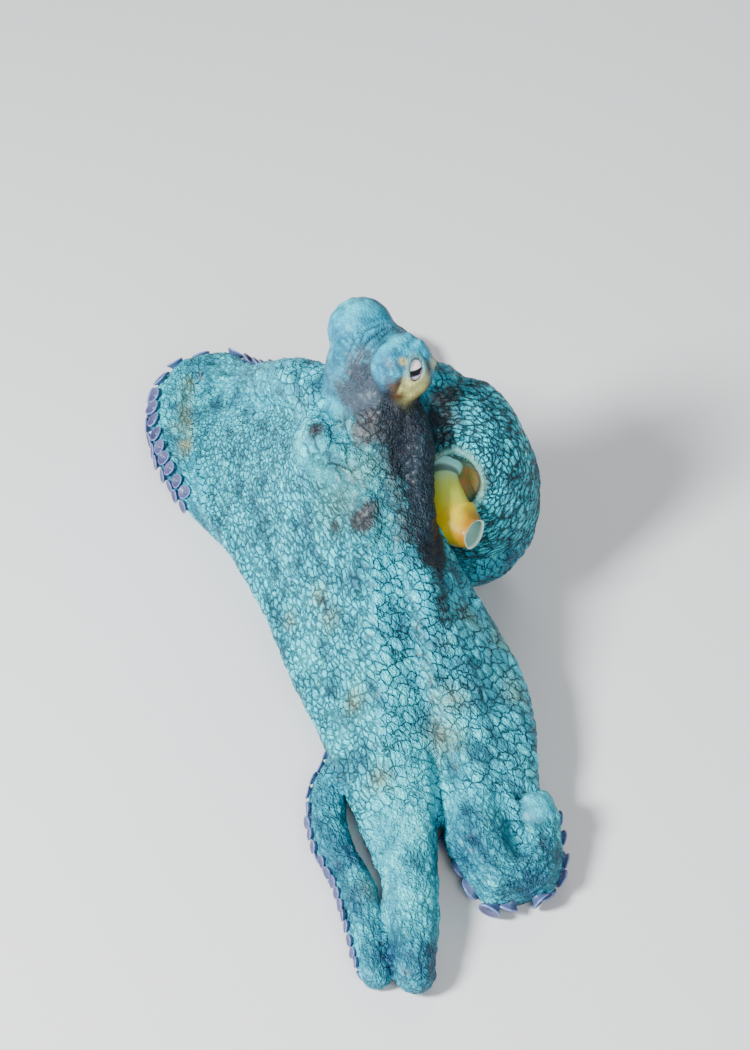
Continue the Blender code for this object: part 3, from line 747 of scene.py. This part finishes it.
def carveEye(points, side):  # opens the lids over the eyeball and rounds the mound over it
    mound, ahead, across, upward = (np.array(v) for v in eyeFrame(side))
    ball = mound + ahead * eye["out"]
    offset = points - ball
    reach = lengths(offset)
    ways = offset / reach[:, None]
    aside = offset @ across
    rise = offset @ upward
    facing = ways @ ahead
    q = np.hypot((aside - eye["slant"] * rise) / eye["halfWidth"], rise / eye["halfHeight"])
    lid = eye["radius"] + eye["lidThickness"] + eye["lipRise"] * np.exp(-((q - 1.35) / 0.3) ** 2)
    blend = 1 - ramp(q, 1.5, 2.9)
    lid = lid * blend + reach * (1 - blend)
    inside = 1 - ramp(q, 0.86, 1.06)
    wanted = lid * (1 - inside) + (eye["radius"] - eye["lidThickness"]) * inside
    active = (facing > 0.35) & (reach < eye["radius"] + 9)
    moved = ball + ways * wanted[:, None]
    return np.where(active[:, None], moved, points), np.where(active, q, 9.0)


def streaksOf(points):  # long soft bands down the web
    way = np.array(flow)
    squeezed = points - np.outer(0.74 * (points @ way), way)
    return ramp(np.array([noise.fractal(Vector(p) * 0.12, 1.0, 2.0, 3) for p in squeezed]), 0.02, 0.6)


def seamsOf(mesh, foldPlace):  # where one pattern of folds meets the next
    here, there = neighbours(mesh)
    jump = np.zeros(len(foldPlace))
    np.maximum.at(jump, here, lengths(foldPlace[here] - foldPlace[there]))
    seam = (jump > 5).astype(float)
    for _ in range(3):
        seam = np.maximum(seam, averaged(seam, (here, there), len(seam)))
    return seam


def finishSkin(item):
    mesh = item.data
    points, free, mantle, cellPlace, foldPlace = measure(mesh)
    seam = seamsOf(mesh, foldPlace)
    store(mesh, "cellPlace", cellPlace)
    store(mesh, "foldPlace", foldPlace)
    item, found = storePatterns(item)
    mesh = item.data
    height, fold, big, smooth = reliefOf(mesh, points, free, mantle, found)
    fold = fold * (1 - ramp(seam, 0.0, 0.5))
    rest = points
    points = points + normalsOf(mesh) * height[:, None]
    points, lidLeft = carveEye(points, 1)
    points, lidRight = carveEye(points, -1)
    points[:, 2] = np.maximum(points[:, 2], 0.0)
    setCoordinates(mesh, np.array(home) + points * mm)
    masks = {name: spread(points, spots) for name, spots in marks.items()}
    for name, line, width, strength in bands:
        masks[name] = np.maximum(masks[name], strength * drawn(points, line, width, 2.6))
    layers = {"fold": fold, "big": big, "smooth": np.maximum(smooth, 0.8 * shareOfKnob(points)),
              "lid": np.minimum(lidLeft, lidRight), "ring": shareOfRing(points),
              "rim": drawn(points, rim["line"], 1.9), "arm": free, "streak": streaksOf(rest),
              "foldShade": creaseShade(rest), **masks}
    for name, values in layers.items():
        store(mesh, name, values)
    print("skin shaped", len(mesh.vertices), len(mesh.polygons))
    return item


skinPiece = finishSkin(skinPiece)


def skinMaterial():
    material, g = newMaterial("skin")
    here = g.here()
    names = ("fold", "big", "smooth", "lid", "ring", "rim", "arm", "streak", "foldShade", *marks)
    share = {name: g.value(name) for name in names}
    grain, coarse = g.noise(here, 0.55, 4, 0.6), g.noise(here, 0.1, 4, 0.62)
    netAndShade, fineNetAndShade, fineEdge, domeLightAndPale = skinCells(g, here, share, grain, coarse)
    # dark net lines: partly the skin's own pattern, partly painted shade in the grooves between the cells
    colour = g.layered(skinColour(g, share, grain, coarse, domeLightAndPale),
                       (g.times(fineNetAndShade, 0.32), (30, 72, 80)), (g.times(netAndShade, 0.95), (12, 40, 44)))
    colour = headColour(g, here, share, grain, coarse, colour)
    height = g.total(g.times(netAndShade, -0.8), g.times(g.ease(fineEdge, 0.0, 0.3), 0.45), g.times(grain, 0.7))
    height = g.times(height, g.ease(share["smooth"], 0, 1, 1, 0.3),
                     g.ease(g.most(share["ring"], share["rim"]), 0, 0.8, 1, 0.15),
                     g.ease(share["indigoAndShade"], 0.2, 0.9, 1, 0.5))
    g.surface(colour, g.ease(grain, 0.3, 0.7, 0.42, 0.64), height, 1.0, 0.0013,
              {"Specular IOR Level": 0.36, "Coat Weight": 0.1, "Coat Roughness": 0.28, "IOR": 1.4})
    return material


def skinCells(g, here, share, grain, coarse):  # dark lines between raised, brighter cells
    shake = g.add("ShaderNodeTexNoise", {"Vector": here, "Scale": 0.34, "Detail": 1.5}).outputs["Color"]
    shake = g.add("ShaderNodeVectorMath", {0: shake, 1: (0.5, 0.5, 0.5)}, operation="SUBTRACT").outputs[0]
    shake = g.scaled(shake, (1.9, 1.9, 1.9))

    def wavy(name):
        return g.add("ShaderNodeVectorMath", {0: g.vector(name), 1: shake}, operation="ADD").outputs[0]

    cell, foldAt = wavy("cellPlace"), wavy("foldPlace")
    smooth, big, fold = share["smooth"], share["big"], share["fold"]
    bigEdge, midEdge = g.edges(cell, 1 / pattern["big"]), g.edges(cell, 1 / pattern["mid"])
    foldEdge, fineEdge = g.edges(foldAt, 1 / pattern["fold"]), g.edges(cell, 1 / pattern["fine"])
    width = g.ease(coarse, 0.3, 0.7, 0.05, 0.1)
    bigNet = g.times(g.ease(bigEdge, 0.01, g.times(width, 1.3), 1, 0), big)
    midNet = g.times(g.ease(midEdge, 0.0, width, 1, 0), g.ease(big, 0.2, 0.9, 1, 0.3),
                     g.ease(fold, 0, 1, 1, 0.3))
    foldNet = g.times(g.ease(foldEdge, 0.02, g.times(width, 2.4), 1.0, 0), fold,
                      g.ease(share["arm"], 0, 1, 1, 0.55))
    # the net lines lie in the grooves, so their darkness is partly painted shade
    netAndShade = g.times(g.most(bigNet, midNet, foldNet), g.ease(grain, 0.3, 0.52, 0.5, 1.0),
                  g.ease(g.most(smooth, share["ring"], share["rim"]), 0, 1, 1, 0.05),
                  g.ease(share["indigoAndShade"], 0.2, 0.9, 1, 0.4), g.ease(share["paleAndHighlight"], 0.3, 1.0, 1, 0.55))
    fineNetAndShade = g.times(g.ease(fineEdge, 0.0, 0.16, 1, 0), g.ease(coarse, 0.35, 0.6, 0.25, 0.8))
    bigTone = g.cells(cell, 1 / pattern["big"], "Color")
    midTone = g.cells(cell, 1 / pattern["mid"], "Color")
    # painted highlight on the tops of the cells and folds, partly the cells' own varied tone; the gaps
    # between them stay darker as painted shade
    dome = g.times(g.ease(midEdge, 0.04, 0.34), g.ease(midTone, 0.25, 0.95, 0.15, 1.0))
    bigDome = g.times(g.ease(bigEdge, 0.02, 0.2), g.ease(bigTone, 0.35, 1.0), big)
    foldDome = g.times(g.ease(foldEdge, 0.05, 0.4), fold, 0.7)
    domeLightAndPale = g.times(g.most(dome, bigDome, foldDome), g.ease(smooth, 0, 1, 0.9, 0.3))
    # the pale marks add to it, and painted shade dims it
    domeLightAndPale = g.times(g.total(domeLightAndPale, g.times(share["paleAndHighlight"], 0.42)), g.ease(share["paintedShade"], 0, 0.8, 1, 0.45))
    return netAndShade, fineNetAndShade, fineEdge, domeLightAndPale


def skinColour(g, share, grain, coarse, domeLightAndPale):  # the ground colour and its patches
    smooth = share["smooth"]
    streak = g.times(share["streak"], g.ease(smooth, 0, 1, 1, 0.35))
    domeLightAndPale = g.times(domeLightAndPale, g.ease(streak, 0, 1, 1.1, 0.4))
    domeLightAndPale = g.math("MULTIPLY", domeLightAndPale, g.ease(coarse, 0.3, 0.62, 0.45, 1.2), True)
    bodyTone = g.mix(g.ease(coarse, 0.32, 0.66), (26, 130, 154), (42, 212, 242))
    headTone = g.mix(g.ease(coarse, 0.35, 0.65), (7, 78, 108), (24, 150, 188))
    # the painted highlight colour of the lit cell tops and the pale marks
    highlightTone = g.mix(smooth, (86, 246, 255), (66, 238, 252))
    # brown skin and its painted shade, lighter where the cells carry painted highlight
    brownAndShadeTone = g.mix(g.times(domeLightAndPale, 0.55), (62, 42, 44), (120, 120, 122))
    brownAndShadeTone = g.mix(g.times(smooth, 0.8), brownAndShadeTone, (50, 68, 84))
    # the neck's dark indigo skin with its painted shade
    indigoAndShadeTone = g.mix(g.times(domeLightAndPale, 0.18), (8, 10, 28), (38, 50, 82))
    patchy = g.ease(coarse, 0.3, 0.6, 0.75, 1.15)
    brownAndShade = g.times(share["brownAndShade"], patchy, g.ease(grain, 0.3, 0.6, 0.8, 1.2))
    indigoAndShade = g.times(share["indigoAndShade"], patchy, g.ease(grain, 0.3, 0.6, 0.85, 1.15))
    return g.layered(
        bodyTone, (g.ease(smooth, 0, 1, 0, 0.95), headTone), (domeLightAndPale, highlightTone),
        (g.times(share["moss"], 0.62), (44, 112, 110)),
        (g.times(streak, g.ease(share["paleAndHighlight"], 0, 1, 0.62, 0.25)), (30, 70, 94)),
        (g.times(share["tan"], g.ease(grain, 0.3, 0.6, 0.45, 1.0), 0.75), (158, 148, 56)),
        # painted shade in the folds and creases
        (g.times(share["foldShade"], 0.9), (28, 44, 58)),
        (g.times(g.ease(brownAndShade, 0.0, 0.72), 0.93), brownAndShadeTone),
        (g.times(g.ease(indigoAndShade, 0.0, 0.6), 0.98), indigoAndShadeTone),
        # painted shade, laid on in dark blue
        (g.times(share["paintedShade"], 0.88), (24, 48, 96)))


def headColour(g, here, share, grain, coarse, colour):  # freckles, lids and the mantle's opening
    freckle = g.times(g.ease(g.cells(here, 0.62), 0.1, 0.24, 1, 0),
                      g.ease(grain, 0.46, 0.6), share["smooth"], 0.6)
    ringTone = g.mix(g.ease(coarse, 0.35, 0.6), (168, 96, 12), (112, 118, 44))
    ringEdge = g.times(share["ring"], g.math("SUBTRACT", 1.0, share["ring"]), 2.8)
    return g.layered(
        colour, (freckle, (40, 62, 84)),
        (g.ease(share["lid"], 1.15, 2.1, 0.3, 0), (150, 206, 190)),
        (g.times(share["cream"], 0.85), (216, 212, 132)),
        (g.times(share["amber"], 0.95), (78, 46, 16)),
        (g.ease(share["lid"], 0.95, 1.08, 1, 0), (52, 40, 38)),
        (g.times(share["rim"], 0.8), (122, 142, 104)),
        (g.times(share["ring"], 0.92), ringTone), (ringEdge, (46, 44, 26)))


skinPiece.data.materials.append(skinMaterial())

gaze = {"pupilWide": 3.5, "pupilTall": 1.25, "pupilDrop": 1.3, "pupilDeep": 0.6, "bend": 0.03}


def makeEye(side, name):
    mound, ahead, across, upward = eyeFrame(side)
    bm = bmesh.new()
    bmesh.ops.create_uvsphere(bm, u_segments=96, v_segments=64, radius=eye["radius"])
    turned, seen = Matrix((across, upward, ahead)).transposed(), []
    for vert in bm.verts:
        a, u, f = vert.co
        seen.append((a, u, f))
        if f > 0:
            curve = u + gaze["pupilDrop"] - gaze["bend"] * a * a
            bar = max(abs(curve) / gaze["pupilTall"], abs(a) / gaze["pupilWide"])
            sink = 1 - min(max((bar - 0.75) / 0.35, 0), 1)
            vert.co *= 1 - gaze["pupilDeep"] * sink / eye["radius"]
        vert.co = placed(mound + ahead * eye["out"] + turned @ vert.co)
    return finished(bm, name, "gaze", seen)


def eyeMaterial():
    material, g = newMaterial("eye")
    look = g.vector("gaze")
    across, upward = g.parts(look)[:2]
    level = g.total(upward, gaze["pupilDrop"], g.times(across, across, -gaze["bend"]))
    grain = g.noise(look, 1.3, 5, 0.6)
    streaks = g.noise(g.scaled(look, (0.35, 2.4, 1.0)), 1.6, 4, 0.6)
    streaky = g.ease(streaks, 0.3, 0.7)
    white = g.mix(streaky, (232, 226, 240), (250, 248, 252))
    violet = g.mix(streaky, (176, 164, 206), (214, 206, 228))
    flecks = g.cells(g.scaled(look, (1.0, 1.8, 1.0)), 1.5)
    bar = g.most(g.math("DIVIDE", g.math("ABSOLUTE", level), gaze["pupilTall"]),
                 g.math("DIVIDE", g.math("ABSOLUTE", across), gaze["pupilWide"]))
    colour = g.layered(
        violet, (g.ease(level, -0.6, 0.6), white),
        (g.ease(upward, -3.2, -4.6), (190, 184, 128)), (g.ease(upward, 4.2, 5.4), (160, 170, 150)),
        (g.times(g.ease(flecks, 0.1, 0.3, 1, 0), 0.18), (120, 110, 150)),
        (g.ease(bar, 0.95, 1.35, 0.8, 0), (48, 40, 90)), (g.ease(bar, 0.88, 1.0, 1, 0), (10, 12, 24)))
    g.surface(colour, g.ease(grain, 0.2, 0.8, 0.2, 0.34), g.total(grain, streaks), 0.12, 0.0003,
              {"Coat Weight": 0.5, "Coat Roughness": 0.06, "IOR": 1.36,
               "Subsurface Weight": 0.1, "Subsurface Scale": 0.001})
    return material


eyeLook = eyeMaterial()
for side, name in ((1, "eye_left"), (-1, "eye_right")):
    ball = makeEye(side, name + "_detail")
    ball.data.materials.append(eyeLook)
    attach(ball, "root")
    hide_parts(name)
print("eyes made")

funnel = {
    "line": ((22, 4, 70, 6.6), (24, -6, 72, 7.4), (23.4, -13, 71, 5.8), (24.6, -20.5, 66, 7.6),
             (26.2, -26.2, 61.4, 9.9), (30.0, -31.0, 59.2, 10.1), (35.4, -36.6, 59.2, 7.0)),
    "wall": 0.9, "around": 56, "cut": 1.2, "depth": 0.45,
    "collar": (0.19, 1.6, 0.05), "groove": (0.33, -0.5, 0.022),   # along the tube, height, width
}


def makeFunnel():
    line = smoothLine(funnel["line"], 8)
    along = lengthsOf(line) / lengthsOf(line)[-1]
    ways = waysOf(line)
    bm = bmesh.new()
    rings, values = [], []
    steps = list(range(len(line)))
    inner = [k for k in reversed(steps) if along[k] > 1 - funnel["depth"]]

    def ring(k, lift, push, kind):
        way = Vector(ways[k])
        side = Vector((1, 0, 0.0))
        side = (side - way * side.dot(way)).normalized()
        front = way.cross(side)
        if front.dot(Vector((0, -0.74, 0.67))) < 0:
            front = -front
        made = []
        for j in range(funnel["around"]):
            turn = 2 * pi * j / funnel["around"]
            radius = line[k, 3] + lift
            for band in ("collar", "groove"):
                near, height, width = funnel[band]
                radius += height * np.exp(-((along[k] - near) / width) ** 2) * (kind < 1)
            radius *= 1 + 0.035 * along[k] * sin(3 * turn + 0.8) + 0.02 * along[k] * sin(5 * turn)
            spot = Vector(line[k, :3]) + side * cos(turn) * radius + front * sin(turn) * radius * 0.9
            cutBack = funnel["cut"] * (0.8 * cos(turn) + 0.6 * sin(turn)) * ramp(np.array(along[k]), 0.6, 1.0)
            spot += way * (push - float(cutBack))
            made.append(bm.verts.new(placed(spot)))
            values.append((along[k], kind, turn))
        rings.append(made)

    for k in steps:
        ring(k, 0.0, 0.0, 0.0)
    last = steps[-1]
    wall = funnel["wall"]
    for lift, push, kind in ((0.25, 0.5, 0.25), (0.1, 0.95, 0.5), (-0.35, 1.0, 0.75), (-0.75, 0.6, 1.0)):
        ring(last, lift, push, kind)
    for k in inner:
        ring(k, -wall - 0.15 * (1 - along[k]), 0.0, 1.0)
    joinRings(bm, rings)
    bm.faces.new(reversed(rings[0]))
    bm.faces.new(rings[-1])
    bmesh.ops.recalc_face_normals(bm, faces=bm.faces)
    return finished(bm, "funnel_detail", "tube", values)


def funnelMaterial():
    material, g = newMaterial("funnel_skin")
    along, inside = g.parts(g.vector("tube"))[:2]
    here = g.here()
    grain, blotch = g.noise(here, 0.6, 5, 0.6), g.noise(here, 0.16, 4, 0.55)
    at = g.total(along, g.times(g.math("SUBTRACT", blotch, 0.5), 0.16))
    fromGroove = g.math("ABSOLUTE", g.math("SUBTRACT", along, funnel["groove"][0]))
    dots = g.ease(g.cells(here, 1.4), 0.1, 0.28, 1, 0)
    colour = g.layered(
        (150, 210, 170), (g.ease(at, 0.3, 0.5), (190, 204, 74)),
        (g.ease(at, 0.5, 0.78), (210, 186, 30)), (g.ease(at, 0.84, 1.02), (158, 104, 6)),
        (g.ease(along, 0.29, 0.32, 1, 0), (140, 214, 216)),
        (g.ease(fromGroove, 0.012, 0.035, 0.85, 0), (66, 90, 104)),
        (g.times(dots, 0.16), (150, 96, 40)), (g.ease(inside, 0.35, 0.8), (196, 240, 232)))
    height = g.total(g.times(g.noise(g.scaled(here, (1, 1, 0.4)), 0.9, 4, 0.6), 0.8), g.times(dots, 0.2))
    g.surface(colour, g.ease(grain, 0.3, 0.7, 0.34, 0.5), height, 0.35, 0.0005,
              {"Subsurface Weight": 0.2, "Subsurface Radius": (1.0, 0.6, 0.3), "Subsurface Scale": 0.002,
               "Coat Weight": 0.25, "Coat Roughness": 0.2, "IOR": 1.4})
    return material


funnelPiece = makeFunnel()
funnelPiece.data.materials.append(funnelMaterial())
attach(funnelPiece, "root")
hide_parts("funnel")
print("funnel made")

sucker = {
    "size": 0.40, "least": 0.55, "spacing": 2.15,
    "fineFrom": 3.0, "around": (10, 16),   # smaller ones have fewer faces
    # across and up from the sucker's own middle: base, neck, flared rim, dished face, hole
    "profile": ((0.0, -0.62), (0.66, -0.6), (0.62, -0.1), (0.72, 0.12), (0.93, 0.3), (1.0, 0.42),
                (0.95, 0.53), (0.82, 0.5), (0.6, 0.36), (0.4, 0.29), (0.33, 0.3), (0.27, 0.1), (0.0, 0.02)),
    # arm: from, to (mm along), then the two rows' turn above the horizontal, in degrees
    "rows": {"r1": (122, 268, (42, 2)), "l1": (92, 300, (10, -30)), "l3": (146, 330, (-18, -50)),
             "l2": (226, 300, (-8, -40)), "l4": (50, 200, (-10, -46)), "r4": (60, 240, (-10, -46)),
             "r2": (70, 236, (-6, -46)), "r3": (70, 236, (-6, -46))},
}


def addSucker(bm, spot, way, radius, values, seed):  # one cup on its stalk, facing the given way
    side = way.orthogonal().normalized()
    other = way.cross(side)
    fine = radius > sucker["fineFrom"]
    around = sucker["around"][fine]
    rings = []
    tilt = 0.12 * sin(seed * 2.3)
    for r, h in sucker["profile"] if fine else sucker["profile"][::2]:
        made = []
        for j in range(around if r else 1):
            turn = 2 * pi * j / around
            grooved = 0.035 if 0.35 < r < 0.9 and h > 0.2 else 0.0
            wave = 1 + 0.05 * sin(3 * turn + seed) + grooved * cos(8 * turn)
            out = (side * cos(turn) + other * sin(turn)) * r * radius * wave
            lift = (h + tilt * r * cos(turn + seed)) * radius
            made.append(bm.verts.new(placed(spot + out + way * lift)))
            values.append((r, h, seed))
        rings.append(made)
    joinRings(bm, rings)


def lineAt(line, along, at):  # x, y, z and radius at a length along a line
    return [float(np.interp(at, along, line[:, k])) for k in range(4)]


def seated(surface, spot, face, size, radius):  # where a cup meets the skin, clear of the floor
    flat = sqrt(max(1 - face.z ** 2, 0))
    spot.z = max(spot.z, size * (flat + 0.45 * abs(face.z)) + 0.3)
    hit, normal = surface.ray_cast(placed(spot + face * radius * 2.2), -face)[:2]
    if hit is None or normal.dot(face) < 0.3:
        return None
    met = Vector(own(np.array(hit)))
    lift = max(size * (1.06 * flat + 0.6 * max(-face.z, 0)) - met.z, 0)
    if (met - spot).length > radius * 1.45 or lift > 1.5 * size:
        return None
    met.z += lift
    return met


def makeSuckers():
    bm, values, count = bmesh.new(), [], 0
    bpy.context.view_layer.update()
    surface = BVHTree.FromObject(skinPiece, bpy.context.evaluated_depsgraph_get())
    for name, (start, end, turns) in sucker["rows"].items():
        line = lines[name]
        along = lengthsOf(line)
        for row, turn in enumerate(turns):
            at = start
            while at < min(end, along[-1] - 1.5):
                *centre, radius = lineAt(line, along, at)
                way = (Vector(lineAt(line, along, at + 1)[:3]) - Vector(centre)).normalized()
                right = Vector((way.y, -way.x, 0)).normalized()
                size = max(radius * sucker["size"], sucker["least"])
                step = size * sucker["spacing"]
                spot = Vector(lineAt(line, along, at + row * step / 2)[:3])
                face = (right * cos(radians(turn)) + Vector((0, 0, 1)) * sin(radians(turn))).normalized()
                face = (face + way * 0.08 * sin(count * 1.7)).normalized()
                at += step
                count += 1
                met = seated(surface, spot, face, size, radius)
                if met is not None:
                    addSucker(bm, met + face * 0.02 * size, face, size, values, float(count))
    bmesh.ops.recalc_face_normals(bm, faces=bm.faces)
    return finished(bm, "suckers", "cup", values)


def suckerMaterial():
    material, g = newMaterial("sucker")
    out, up, seed = g.parts(g.vector("cup"))
    here = g.here()
    grain = g.noise(here, 0.9, 5, 0.6)
    chance = g.add("ShaderNodeTexWhiteNoise", {"W": seed}, noise_dimensions="1D").outputs["Value"]
    face = g.layered((50, 50, 88), (chance, (86, 84, 124)), (g.ease(out, 0.4, 0.25), (34, 24, 44)))
    wallTone = g.mix(grain, (42, 58, 98), (78, 106, 144))
    rimShare = g.times(g.ease(out, 0.84, 0.95), g.ease(up, 0.3, 0.45), 0.8)
    colour = g.layered(
        wallTone, (g.ease(up, 0.2, 0.4), face), (rimShare, (108, 138, 196)),
        (g.times(g.ease(grain, 0.5, 0.7), 0.3), (70, 66, 100)))
    height = g.total(grain, g.times(g.noise(here, 3.0, 3, 0.6), 0.4))
    g.surface(colour, g.ease(grain, 0.3, 0.7, 0.3, 0.48), height, 0.4, 0.0004,
              {"Subsurface Weight": 0.15, "Subsurface Scale": 0.0015, "Coat Weight": 0.25,
               "Coat Roughness": 0.2, "IOR": 1.4})
    return material


suckerPiece = makeSuckers()
suckerPiece.data.materials.append(suckerMaterial())
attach(suckerPiece, "root")
print("suckers made", len(suckerPiece.data.polygons))

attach(skinPiece, "root")
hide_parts(*skin["nodes"])
skinPiece.data.shade_smooth()


def makeStage():
    bm = bmesh.new()
    bmesh.ops.create_grid(bm, x_segments=1, y_segments=1, size=4.0)
    floor = objectFrom(bm, "floor")
    paper = bpy.data.materials.new("paper")
    paper.use_nodes = True
    paper.node_tree.nodes["Principled BSDF"].inputs["Base Color"].default_value = (0.75, 0.76, 0.77, 1)
    floor.data.materials.append(paper)


def makeLight(name, spot, size, power):
    light = bpy.data.lights.new(name, "AREA")
    light.shape = "DISK"
    light.size = size
    light.energy = power
    item = newObject(name, light)
    item.location = spot
    item.rotation_euler = (Vector((0, 0, 0.05)) - Vector(spot)).to_track_quat("-Z", "Y").to_euler()


makeStage()
makeLight("key", (-1.0, -0.6, 0.95), 0.4, 60)
makeLight("fill", (0.4, -1.2, 1.0), 0.8, 13)
makeLight("back", (0.3, 1.2, 0.9), 0.8, 6)
world = bpy.data.worlds.new("studio")
world.use_nodes = True
world.node_tree.nodes["Background"].inputs["Color"].default_value = (0.8, 0.85, 0.9, 1)
world.node_tree.nodes["Background"].inputs["Strength"].default_value = 0.3
bpy.context.scene.world = world
